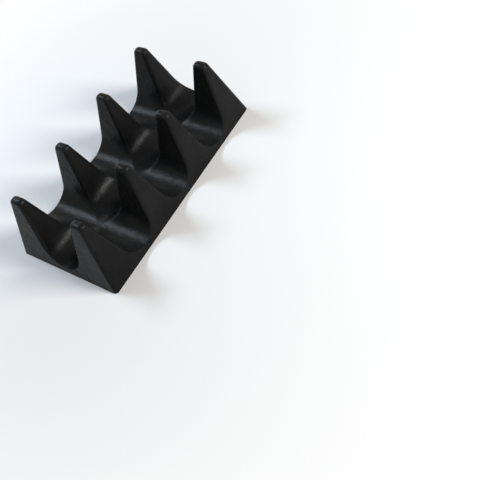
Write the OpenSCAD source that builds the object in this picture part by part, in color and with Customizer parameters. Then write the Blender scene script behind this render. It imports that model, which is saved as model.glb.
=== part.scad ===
// Taco holder: one moulded shell with two rows of hollow posts on a shared low base.
// Slots for the tacos run across it between the posts, and a trough runs along its middle.
// X runs along the row of tacos, Y across it, Z up. The origin is the middle of the base.

/* [Row of tacos] */
// Number of taco slots in the row
slot_count = 3; // [1:1:5]
// Distance from one slot to the next, centre to centre
slot_pitch = 49.7; // [46:0.1:64]

/* [Posts] */
// Height of the post tops above the table
post_height = 55; // [46:0.2:64]
// Thickness of a post at its top, between two slots, before the edges are rounded
post_thickness = 5.8; // [5:0.1:9]
// Width of a post at its top, across the holder, before the edges are rounded
post_width = 10.2; // [8:0.2:18]
// Gap between the tops of two facing posts, across the trough
post_gap = 45; // [40:0.2:56]
// Radius of the rounded top edges
top_radius = 2.8; // [1:0.1:2.9]
// Radius of the upright edges of the posts
post_radius = 2.4; // [1.2:0.1:2.4]

/* [Slopes] */
// Lean of the two end faces from upright, in degrees
end_draft = 12.6; // [8:0.1:20]
// Lean of the two long side faces from upright, in degrees
side_draft = 12.8; // [6:0.1:18]
// Lean of the slot walls from upright, in degrees
slot_draft = 11.4; // [7:0.1:13]
// Lean of the trough walls from upright, in degrees
trough_draft = 10.3; // [7:0.1:14]

/* [Floor] */
// Height of the slot and trough floors above the table
floor_height = 5; // [4:0.2:12]
// Radius of the slot floors
slot_radius = 14; // [8:0.5:18]
// Radius of the trough floor
trough_radius = 15.5; // [8:0.5:18]

/* [Shell] */
// Thickness of the moulded walls and floors
wall = 2.2; // [1.6:0.1:2.8]
// Thickness of the moulding under the tops of the posts
crown = 2.6; // [2:0.1:4]
// Radius of the outer corners at the foot
corner_radius = 3; // [2.5:0.5:8]
// Radius of the upright edges inside the hollows
core_radius = 0.8; // [0.4:0.1:1.2]

/* [Hidden] */

// Steps of a corner's quarter circle, outside and in the hollows
corner_steps = 4;
core_steps = 2;
// Levels of a post's section over the round floor and over the rounded top edge
floor_levels = 11;
core_levels = 8;
top_levels = 5;
// Corner radius of a section whose corners are still sharp
sharp = 0.05;
// How far the hollow runs past the open foot
past = 2;

row_length = slot_count * slot_pitch;
foot_x = row_length / 2 + post_thickness / 2 + post_height * tan(end_draft);
foot_y = post_gap / 2 + post_width + post_height * tan(side_draft);
slot_mouth = (slot_pitch - post_thickness) / 2;
// A rounded top edge takes at most half of the post's thickness
tip_radius = min(top_radius, post_thickness / 2);
edge_z = post_height - tip_radius;

// Distance that a rounded top edge has moved in at height z, from a face with that lean
function top_inset(z, draft) =
    z <= edge_z + tip_radius * sin(draft)
        ? 0
        : tip_radius / cos(draft) - sqrt(max(0, pow(tip_radius, 2) - pow(z - edge_z, 2)))
            - (z - edge_z) * tan(draft);

// Half width at height z of a channel with a round floor and leaning walls. mouth is its
// half width at the height of the post tops. An inset gives the parallel outline at that
// distance inside the moulding.
function channel(z, mouth, radius, draft, inset) =
    let (
        widest = (mouth - (post_height - floor_height) * tan(draft)) / tan(45 - draft / 2),
        r = min(radius, widest),
        center_z = floor_height + r,
        center_x = mouth - (post_height - center_z) * tan(draft) - r / cos(draft),
        reach = r + inset,
        down = center_z - z
    )
    down > reach * sin(draft)
        ? center_x + sqrt(max(0, reach * reach - down * down))
        : mouth + inset / cos(draft) - (post_height - z) * tan(draft);

function slot_half(z, inset) = channel(z, slot_mouth, slot_radius, slot_draft, inset);
function trough_half(z, inset) =
    channel(z, post_gap / 2, trough_radius, trough_draft, inset);
function end_x(z, inset) = foot_x - z * tan(end_draft) - inset / cos(end_draft);
function side_y(z, inset) = foot_y - z * tan(side_draft) - inset / cos(side_draft);

// Corner points of a quarter circle that starts at angle a
function corner(x, y, r, a, steps) =
    [for (i = [0:steps]) [x, y] + r * [cos(a + i * 90 / steps), sin(a + i * 90 / steps)]];

// Rectangle from low to high with the four corner radii r, from its low corner round
function section(low, high, r, steps) = concat(
    corner(low.x + r[0], low.y + r[0], r[0], 180, steps),
    corner(high.x - r[1], low.y + r[1], r[1], 270, steps),
    corner(high.x - r[2], high.y - r[2], r[2], 0, steps),
    corner(low.x + r[3], high.y - r[3], r[3], 90, steps)
);

// Skin over a stack of like sections, each at its own height
module loft(heights, sections) {
    n = len(sections[0]);
    last = (len(heights) - 1) * n;
    polyhedron(
        points = [for (k = [0:len(heights) - 1]) for (p = sections[k]) [p.x, p.y, heights[k]]],
        faces = concat(
            [[for (j = [0:n - 1]) j]],
            [for (k = [0:n:last - n]) for (j = [0:n - 1])
                [k + j, k + n + j, k + n + (j + 1) % n, k + (j + 1) % n]],
            [[for (j = [n - 1:-1:0]) last + j]]
        )
    );
}

// Radius of a post's upright edges at height z: sharp at the floor, full where the walls start
function rim(z) =
    let (rise = min(1, (z - floor_height) / trough_radius))
    max(sharp, post_radius * sin(90 * rise));

// Section at height z of a post that ends at the slot centre on its low side, and on its high
// side at the next slot centre or, as an end post, at the end face
function post_section(z, is_end) =
    let (
        low_x = slot_half(z, 0) + top_inset(z, slot_draft),
        high_x = is_end
            ? end_x(z, 0) - row_length / 2 + slot_pitch / 2 - top_inset(z, end_draft)
            : slot_pitch - low_x,
        low_y = trough_half(z, 0) + top_inset(z, trough_draft),
        high_y = side_y(z, 0) - top_inset(z, side_draft),
        shrink = top_inset(z, 0),
        edge = max(sharp, rim(z) - shrink),
        outer = max(sharp, outer_corner(z, 0) - shrink)
    )
    section([low_x, low_y], [high_x, high_y], [edge, edge, is_end ? outer : edge, edge], corner_steps);

// Radius at height z of the holder's own four corners
function outer_corner(z, inset) =
    max(core_radius, corner_radius + (post_radius - corner_radius) * z / post_height - inset);

// Section of the hollow in the same post
function core_section(z, is_end) =
    let (
        low_x = slot_half(z, wall),
        high_x = is_end ? end_x(z, wall) - row_length / 2 + slot_pitch / 2 : slot_pitch - low_x
    )
    section(
        [low_x, trough_half(z, wall)], [high_x, side_y(z, wall)],
        [core_radius, core_radius, is_end ? outer_corner(z, wall) : core_radius, core_radius], core_steps
    );

// Heights of the sections over a round floor that starts at height low
function floor_heights(low, reach, levels) =
    [for (i = [0:levels]) low + reach * (1 - cos(90 * i / levels))];

module post(is_end) {
    top = [for (i = [0:top_levels])
        edge_z + tip_radius * sin(slot_draft + i * (90 - slot_draft) / top_levels)];
    heights = concat(
        floor_heights(floor_height, max(slot_radius, trough_radius), floor_levels), top
    );
    loft(heights, [for (z = heights) post_section(z, is_end)]);
}

module post_core(is_end) {
    heights = concat(
        floor_heights(floor_height - wall, max(slot_radius, trough_radius) + wall, core_levels),
        [post_height - crown]
    );
    loft(heights, [for (z = heights) core_section(z, is_end)]);
}

// Both rows of posts: end posts mirrored at the ends, posts of one kind between them
module both_rows() {
    for (sy = [0, 1])
        mirror([0, sy, 0]) {
            for (sx = [0, 1])
                mirror([sx, 0, 0])
                    translate([(row_length - slot_pitch) / 2, 0, 0]) children(0);
            if (slot_count > 1)
                for (i = [0:slot_count - 2])
                    translate([i * slot_pitch - (row_length - slot_pitch) / 2, 0, 0]) children(1);
        }
}

// Low leaning base from height z0 to z1, moved in by inset
module base(z0, z1, inset, steps) {
    heights = [z0, z1];
    loft(heights, [for (z = heights)
        let (r = outer_corner(z, inset))
        section(
            [-end_x(z, inset), -side_y(z, inset)], [end_x(z, inset), side_y(z, inset)],
            [r, r, r, r], steps
        )
    ]);
}

// The whole holder: base and posts, less the hollow under them, which is open to the table
module taco_holder() {
    color([0.1, 0.1, 0.11])
        difference() {
            union() {
                base(0, floor_height, 0, corner_steps);
                both_rows() {
                    post(true);
                    post(false);
                }
            }
            base(-past, floor_height - wall, wall, core_steps);
            both_rows() {
                post_core(true);
                post_core(false);
            }
        }
}

taco_holder();
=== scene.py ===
import math
from collections import namedtuple

import bpy
import numpy as np
from mathutils import Matrix, Vector


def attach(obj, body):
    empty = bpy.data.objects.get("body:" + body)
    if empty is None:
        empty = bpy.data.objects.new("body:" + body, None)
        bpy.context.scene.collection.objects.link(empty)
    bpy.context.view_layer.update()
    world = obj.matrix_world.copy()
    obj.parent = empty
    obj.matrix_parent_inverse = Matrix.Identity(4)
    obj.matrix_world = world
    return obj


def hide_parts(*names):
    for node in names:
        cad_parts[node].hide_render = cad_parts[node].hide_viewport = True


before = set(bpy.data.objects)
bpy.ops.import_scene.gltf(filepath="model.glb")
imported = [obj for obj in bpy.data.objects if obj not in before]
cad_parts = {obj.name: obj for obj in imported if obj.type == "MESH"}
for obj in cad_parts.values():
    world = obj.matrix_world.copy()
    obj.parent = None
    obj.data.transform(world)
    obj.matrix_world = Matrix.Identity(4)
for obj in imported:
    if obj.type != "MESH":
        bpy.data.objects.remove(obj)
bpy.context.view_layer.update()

# The holder's sizes, in metres. The part's solid has the same, but for the tops' edges
# along the row, which are rounded a little more here.
MM = 0.001
SLOTS = 3
PITCH = 49.7 * MM
HEIGHT = 55 * MM
POST_X = 5.8 * MM
POST_Y = 10.2 * MM
GAP_Y = 45 * MM
POST_R = 2.4 * MM
FLOOR = 5 * MM
SLOT_R = 14 * MM
TROUGH_R = 15.5 * MM
WALL = 2.2 * MM
CROWN = 2.6 * MM
FOOT_R = 3 * MM
CORE_R = 0.8 * MM
SHARP = 0.05 * MM

# A kind of face: its lean from upright in radians, and the radius of its rounded top edge
Face = namedtuple("Face", "lean top_r")
END = Face(math.radians(12.6), 2.8 * MM)
SIDE = Face(math.radians(12.8), 3.7 * MM)
SLOT = Face(math.radians(11.4), 2.8 * MM)
TROUGH = Face(math.radians(10.3), 3.7 * MM)

ROW = SLOTS * PITCH
SLOT_X = (PITCH - POST_X) / 2
FOOT_X = ROW / 2 + POST_X / 2 + HEIGHT * math.tan(END.lean)
FOOT_Y = GAP_Y / 2 + POST_Y + HEIGHT * math.tan(SIDE.lean)

# Steps of the mesh: below the floor, up the floor's arc, up the walls, over the rounded top
# edge and across the flat top
Steps = namedtuple("Steps", "below arc wall top flat")
OUTSIDE = Steps(below=4, arc=12, wall=15, top=8, flat=3)
INSIDE = Steps(below=2, arc=9, wall=10, top=0, flat=3)

# A length that counts as none, and what two corners at the thin top of a post leave between them
TINY = 1e-9
SLIVER = 2e-6


def top_inset(z, face):
    """How far the rounded top edge has moved in from a face at height z."""
    r, lean = face.top_r, face.lean
    up = z - (HEIGHT - r)
    arc = r / math.cos(lean) - np.sqrt(np.maximum(0, r ** 2 - up ** 2)) - up * math.tan(lean)
    return np.where(up > r * math.sin(lean), arc, 0.0)


def channel(z, mouth, radius, lean, inset):
    """Half width of a round-floored channel at height z."""
    widest = (mouth - (HEIGHT - FLOOR) * math.tan(lean)) / math.tan(math.pi / 4 - lean / 2)
    r = min(radius, widest)
    cz = FLOOR + r
    cx = mouth - (HEIGHT - cz) * math.tan(lean) - r / math.cos(lean)
    reach = r + inset
    down = cz - z
    arc = cx + np.sqrt(np.maximum(0, reach ** 2 - down ** 2))
    wall = mouth + inset / math.cos(lean) - (HEIGHT - z) * math.tan(lean)
    return np.where(down > reach * math.sin(lean), arc, wall)


def slot_half(z, inset):
    return channel(z, SLOT_X, SLOT_R, SLOT.lean, inset)


def trough_half(z, inset):
    return channel(z, GAP_Y / 2, TROUGH_R, TROUGH.lean, inset)


def outer_face(z, foot, face, inset):
    """Distance of an end or side face from the middle at height z."""
    return foot - z * math.tan(face.lean) - inset / math.cos(face.lean)


def levels(inset, steps, top_z):
    """Heights of the mesh lines from the floor up to the top of a post."""
    reach = TROUGH_R + inset
    lean, r = TROUGH.lean, TROUGH.top_r
    turn = math.pi / 2 - lean
    edge_z = HEIGHT - r
    low = FLOOR - inset
    arc = [low + reach * (1 - math.cos(turn * i / steps.arc)) for i in range(steps.arc + 1)]
    wall_top = edge_z + r * math.sin(lean) if steps.top else top_z
    wall = [arc[-1] + (wall_top - arc[-1]) * i / steps.wall for i in range(1, steps.wall + 1)]
    top = [edge_z + r * math.sin(lean + turn * i / steps.top) for i in range(1, steps.top + 1)]
    return np.array(arc + wall + top)


def lines(inset, steps, top_z):
    """Mesh lines along X and along Y, each with the height of the sharp-edged form on it."""
    up = levels(inset, steps, top_z)
    below = np.linspace(0, FLOOR - inset, steps.below + 1)[:-1]
    outer = np.concatenate([below, up])

    def rounded(z, face):
        return top_inset(z, face) if steps.top else 0

    def flat(a, b, z):
        t = np.linspace(0, 1, steps.flat + 1)[1:-1]
        return a + (b - a) * t, np.full(len(t), z)

    slot = slot_half(up, inset) + rounded(up, SLOT)
    trough = trough_half(up, inset) + rounded(up, TROUGH)
    end = outer_face(outer, FOOT_X, END, inset) - rounded(outer, END)
    side = outer_face(outer, FOOT_Y, SIDE, inset) - rounded(outer, SIDE)
    xs, x_heights = [], []
    # post by post along the row, each from its left face over its top to its right face
    for i in range(SLOTS + 1):
        left = (i - (SLOTS + 1) / 2) * PITCH + slot if i else -end
        right = (i - (SLOTS - 1) / 2) * PITCH - slot[::-1] if i < SLOTS else end[::-1]
        top, top_heights = flat(left[-1], right[0], up[-1])
        xs += [left, top, right]
        x_heights += [up if i else outer, top_heights, up[::-1] if i < SLOTS else outer[::-1]]
    # one row of posts from the trough over the top to the side, and its mirror image
    top, top_heights = flat(trough[-1], side[-1], up[-1])
    ys = np.concatenate([trough, top, side[::-1]])
    y_heights = np.concatenate([up, top_heights, outer[::-1]])
    return (
        np.concatenate(xs), np.concatenate(x_heights),
        np.concatenate([-ys[::-1], ys]), np.concatenate([y_heights[::-1], y_heights]),
    )


def skin(inset, x, x_heights, y, y_heights):
    """Grid of points on the moulding: the sharp-edged form, with every point that lies outside
    a rounded corner of its section moved in to that corner's arc."""
    X, Y = np.meshgrid(x, y, indexing="ij")
    Z = np.minimum(x_heights[:, None], y_heights[None, :])

    def rounded(face):
        return top_inset(Z, face) if inset == 0 else 0

    # radii of a section's corners: the holder's own four, and all others
    corner = np.maximum(FOOT_R + (POST_R - FOOT_R) * Z / HEIGHT - inset, CORE_R)
    edge = np.full_like(Z, CORE_R)
    if inset == 0:
        rise = np.clip((Z - FLOOR) / TROUGH_R, 0, 1)
        edge = np.maximum(POST_R * np.sin(math.pi / 2 * rise), SHARP)
    end = outer_face(Z, FOOT_X, END, inset) - rounded(END)
    side = outer_face(Z, FOOT_Y, SIDE, inset) - rounded(SIDE)
    # the post, or else the whole foot, whose section the point is on
    on_post = Z > FLOOR - inset + TINY
    number = np.clip(np.floor(X / PITCH + (SLOTS + 1) / 2), 0, SLOTS)
    center = (number - SLOTS / 2) * PITCH
    half = PITCH / 2 - slot_half(Z, inset) - rounded(SLOT)
    lo_x = np.where(on_post & (number > 0), center - half, -end)
    hi_x = np.where(on_post & (number < SLOTS), center + half, end)
    lo_y = np.where(on_post, trough_half(Z, inset) + rounded(TROUGH), -side)
    mirrored = np.sign(Y)
    Y = np.abs(Y)
    for x_side in (-1, 1):
        for y_side in (-1, 1):
            px = lo_x if x_side < 0 else hi_x
            py = lo_y if y_side < 0 else side
            at_end = number == 0 if x_side < 0 else number == SLOTS
            r = np.where((y_side > 0) & (at_end | ~on_post), corner, edge)
            # near the top of a post a corner takes at most half of the post's thickness
            r = np.minimum(r, (hi_x - lo_x - SLIVER) / 2)
            cx, cy = px - x_side * r, py - y_side * r
            dx, dy = (X - cx) * x_side, (Y - cy) * y_side
            far = np.hypot(dx, dy)
            hit = (on_post | (y_side > 0)) & (dx > 0) & (dy > 0) & (far > r)
            k = np.where(hit, r / np.maximum(far, TINY), 1.0)
            X = np.where(hit, cx + (X - cx) * k, X)
            Y = np.where(hit, cy + (Y - cy) * k, Y)
    return np.stack([X, mirrored * Y, Z], -1)


def numbers(grid, first):
    """Numbers of a grid's points, counted from first."""
    nx, ny = grid.shape[:2]
    return np.arange(nx * ny).reshape(nx, ny) + first


def quads(n):
    """Faces between the points of a grid with these numbers."""
    return np.stack([n[:-1, :-1], n[1:, :-1], n[1:, 1:], n[:-1, 1:]], -1).reshape(-1, 4)


def rim_of(n):
    """Numbers of the points round the edge of a grid, in order."""
    return np.concatenate([n[:-1, 0], n[-1, :-1], n[:0:-1, -1], n[0, :0:-1]])


def bridge(points, a, b):
    """Triangles between two rings of points that run the same way round."""
    def share(ring):
        p = points[ring]
        step = np.linalg.norm(np.roll(p, -1, 0) - p, axis=1)
        return np.concatenate([[0], np.cumsum(step)]) / step.sum()

    share_a, share_b = share(a), share(b)
    i = j = 0
    faces = []
    while i < len(a) or j < len(b):
        if j >= len(b) or (i < len(a) and share_a[i + 1] <= share_b[j + 1]):
            faces.append((a[i], b[j % len(b)], a[(i + 1) % len(a)]))
            i += 1
        else:
            faces.append((a[i % len(a)], b[j], b[(j + 1) % len(b)]))
            j += 1
    return faces


def shade(me, smooth, rims):
    """Smooth shading of the first faces, with the edges along the rims kept sharp."""
    flags = np.zeros(len(me.polygons), bool)
    flags[:smooth] = True
    me.polygons.foreach_set("use_smooth", flags)
    ring = np.zeros(len(me.vertices), int)
    for i, rim in enumerate(rims):
        ring[rim] = i + 1
    ends = np.empty(len(me.edges) * 2, int)
    me.edges.foreach_get("vertices", ends)
    ends = ring[ends.reshape(-1, 2)]
    sharp = (ends[:, 0] == ends[:, 1]) & (ends[:, 0] > 0)
    me.attributes.new("sharp_edge", "BOOLEAN", "EDGE").data.foreach_set("value", sharp)


def build_holder():
    """The moulding as one closed mesh: an outer and an inner skin, joined round the foot."""
    outside = skin(0, *lines(0, OUTSIDE, HEIGHT))
    inside = skin(WALL, *lines(WALL, INSIDE, HEIGHT - CROWN))
    points = np.concatenate([outside.reshape(-1, 3), inside.reshape(-1, 3)])
    n_out = numbers(outside, 0)
    n_in = numbers(inside, n_out.size)
    faces = quads(n_out).tolist() + quads(n_in)[:, ::-1].tolist()
    rims = rim_of(n_out), rim_of(n_in)
    me = bpy.data.meshes.new("taco_holder_moulding")
    me.from_pydata(points.tolist(), [], faces + bridge(points, *rims))
    me.validate()
    shade(me, len(faces), rims)
    me.update()
    obj = bpy.data.objects.new("moulded_holder", me)
    bpy.context.scene.collection.objects.link(obj)
    return obj


holder = build_holder()
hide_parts("taco_holder")
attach(holder, "root")


def add(nt, kind, inputs, **settings):
    """A new node with its settings made, and each input set, or linked if given a socket."""
    node = nt.nodes.new("ShaderNode" + kind)
    for name, value in settings.items():
        setattr(node, name, value)
    for name, value in inputs.items():
        if isinstance(value, bpy.types.NodeSocket):
            nt.links.new(value, node.inputs[name])
        else:
            node.inputs[name].default_value = value
    return node


def remap(nt, socket, span, a, b, **settings):
    """A socket's values, taken from a span to the range from a to b."""
    lo, hi = span
    ends = {"Value": socket, "From Min": lo, "From Max": hi, "To Min": a, "To Max": b}
    return add(nt, "MapRange", ends, **settings).outputs["Result"]


# Noises of the plastic, with their scale per metre: broad flow marks, waves, pits and grain
Noise = namedtuple("Noise", "scale detail roughness")
FLOW = Noise(38, 3, 0.5)
WAVES = Noise(130, 2, 0.5)
PITS = Noise(850, 2, 0.6)
GRAIN = Noise(2200, 2, 0.6)
# The spans of two of the noises over which the tone and the roughness change
FLOW_SPAN, PIT_SPAN = (0.35, 0.65), (0.3, 0.7)
DARK, LIGHT = (0.0078, 0.0078, 0.0078, 1), (0.0118, 0.0118, 0.0118, 1)
SMOOTH, ROUGH = 0.23, 0.31
WAVE_DEPTH, PIT_DEPTH, GRAIN_DEPTH = 0.4 * MM, 0.11 * MM, 0.05 * MM


def plastic():
    """Black moulded plastic with a fine, even grain."""
    mat = bpy.data.materials.new("black_plastic")
    mat.use_nodes = True
    nt = mat.node_tree
    shader = nt.nodes["Principled BSDF"]
    shader.inputs["IOR"].default_value = 1.5
    shader.inputs["Specular IOR Level"].default_value = 0.075
    where = add(nt, "TexCoord", {}).outputs["Object"]

    def noise(kind):
        values = {"Scale": kind.scale, "Detail": kind.detail, "Roughness": kind.roughness}
        return add(nt, "TexNoise", {"Vector": where, **values}).outputs["Fac"]

    # broad, faint changes of tone, as a moulded black takes from its flow and from handling
    flow = remap(nt, noise(FLOW), FLOW_SPAN, 0, 1)
    tone = add(nt, "Mix", {"Factor": flow, "A": DARK, "B": LIGHT}, data_type="RGBA")
    nt.links.new(tone.outputs["Result"], shader.inputs["Base Color"])
    # fine grain of the mould's surface
    waves, pits, grain = noise(WAVES), noise(PITS), noise(GRAIN)
    nt.links.new(remap(nt, pits, PIT_SPAN, SMOOTH, ROUGH), shader.inputs["Roughness"])
    below = {}
    for height, depth in ((waves, WAVE_DEPTH), (pits, PIT_DEPTH), (grain, GRAIN_DEPTH)):
        bump = add(nt, "Bump", {"Height": height, "Distance": depth, **below})
        below = {"Normal": bump.outputs["Normal"]}
    nt.links.new(below["Normal"], shader.inputs["Normal"])
    return mat


black = plastic()
holder.data.materials.append(black)
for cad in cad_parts.values():
    for s in cad.material_slots:
        s.material = black

# The photograph's camera: azimuth, elevation and roll of its view in radians, its focal length
# in pixels of the picture, which is 480 wide, and how far right of, below and in front of it
# the holder's origin lies
AZ, EL, ROLL = (math.radians(a) for a in (39.932, 53.557, 23.487))
FOCAL, PICTURE, SENSOR = 684.5, 480, 36
ORIGIN = Vector((-76.11, -46.77, 516.66)) * MM


def photo_camera():
    forward = Vector((math.sin(AZ) * math.cos(EL), math.cos(AZ) * math.cos(EL), -math.sin(EL)))
    right = forward.cross(Vector((0, 0, 1))).normalized()
    down = forward.cross(right)
    rx = math.cos(ROLL) * right + math.sin(ROLL) * down
    ry = -math.sin(ROLL) * right + math.cos(ROLL) * down
    eye = -(rx * ORIGIN.x + ry * ORIGIN.y + forward * ORIGIN.z)
    data = bpy.data.cameras.new("camera")
    data.sensor_width = SENSOR
    data.lens = FOCAL * SENSOR / PICTURE
    data.clip_start, data.clip_end = 0.01, 20
    cam = bpy.data.objects.new("camera", data)
    cam.matrix_world = Matrix((
        (rx.x, -ry.x, -forward.x, eye.x),
        (rx.y, -ry.y, -forward.y, eye.y),
        (rx.z, -ry.z, -forward.z, eye.z),
        (0, 0, 0, 1),
    ))
    bpy.context.scene.collection.objects.link(cam)
    return cam


bpy.context.scene.camera = photo_camera()


def seen(nt):
    """1 where a ray comes from the camera, a mirror or glass, else 0."""
    path = add(nt, "LightPath", {})
    out = path.outputs["Is Camera Ray"]
    for name in ("Is Glossy Ray", "Is Transmission Ray"):
        out = add(nt, "Math", {0: out, 1: path.outputs[name]}, operation="MAXIMUM").outputs[0]
    return out


# Where it is seen, the floor runs out into plain white between these distances from the middle
FADE = (0.11, 0.32)


def pale():
    """Plain pale floor, and plain white away from the holder and its shadow."""
    mat = bpy.data.materials.new("pale_floor")
    mat.use_nodes = True
    nt = mat.node_tree
    matt = nt.nodes["Principled BSDF"]
    matt.inputs["Base Color"].default_value = (0.93, 0.925, 0.915, 1)
    matt.inputs["Roughness"].default_value = 0.8
    matt.inputs["Specular IOR Level"].default_value = 0.0
    white = add(nt, "Emission", {}).outputs["Emission"]
    where = add(nt, "TexCoord", {}).outputs["Object"]
    far = add(nt, "VectorMath", {0: where}, operation="LENGTH").outputs["Value"]
    fade = remap(nt, far, FADE, 0, 1, interpolation_type="SMOOTHSTEP")
    share = add(nt, "Math", {0: fade, 1: seen(nt)}, operation="MULTIPLY").outputs[0]
    mix = add(nt, "MixShader", {"Fac": share, 1: matt.outputs["BSDF"], 2: white})
    nt.links.new(mix.outputs["Shader"], nt.nodes["Material Output"].inputs["Surface"])
    return mat


# the floor lies a hair below the foot
bpy.ops.mesh.primitive_plane_add(size=6, location=(0, 0, -0.05 * MM))
floor = bpy.context.object
floor.name = "floor"
floor.data.materials.append(pale())

# The sky's light on the scene, and its white where it is seen
SKY_LIGHT, SKY_SEEN = 0.22, 1


def studio():
    world = bpy.data.worlds.new("studio")
    world.use_nodes = True
    nt = world.node_tree
    sky = nt.nodes["Background"]
    sky.inputs["Color"].default_value = (1, 1, 1, 1)
    nt.links.new(remap(nt, seen(nt), (0, 1), SKY_LIGHT, SKY_SEEN), sky.inputs["Strength"])
    return world


bpy.context.scene.world = studio()

# The lamps point at the holder's middle, a little above the floor
AIM = Vector((0, 0, 0.02))


def softbox(name, where, size, power, color):
    data = bpy.data.lights.new(name, "AREA")
    data.shape = "RECTANGLE"
    data.size, data.size_y = size
    data.energy = power
    data.color = color
    lamp = bpy.data.objects.new(name, data)
    lamp.location = where
    lamp.rotation_mode = "QUATERNION"
    lamp.rotation_quaternion = (AIM - Vector(where)).to_track_quat("-Z", "Y")
    bpy.context.scene.collection.objects.link(lamp)


softbox("key", (0.31, -0.81, 0.52), (0.4, 0.34), power=8.8, color=(1.0, 0.985, 0.965))
softbox("back", (-0.03, 0.45, 0.54), (0.26, 0.13), power=2.6, color=(0.77, 0.88, 1.0))

scene = bpy.context.scene
scene.view_settings.view_transform = "Standard"
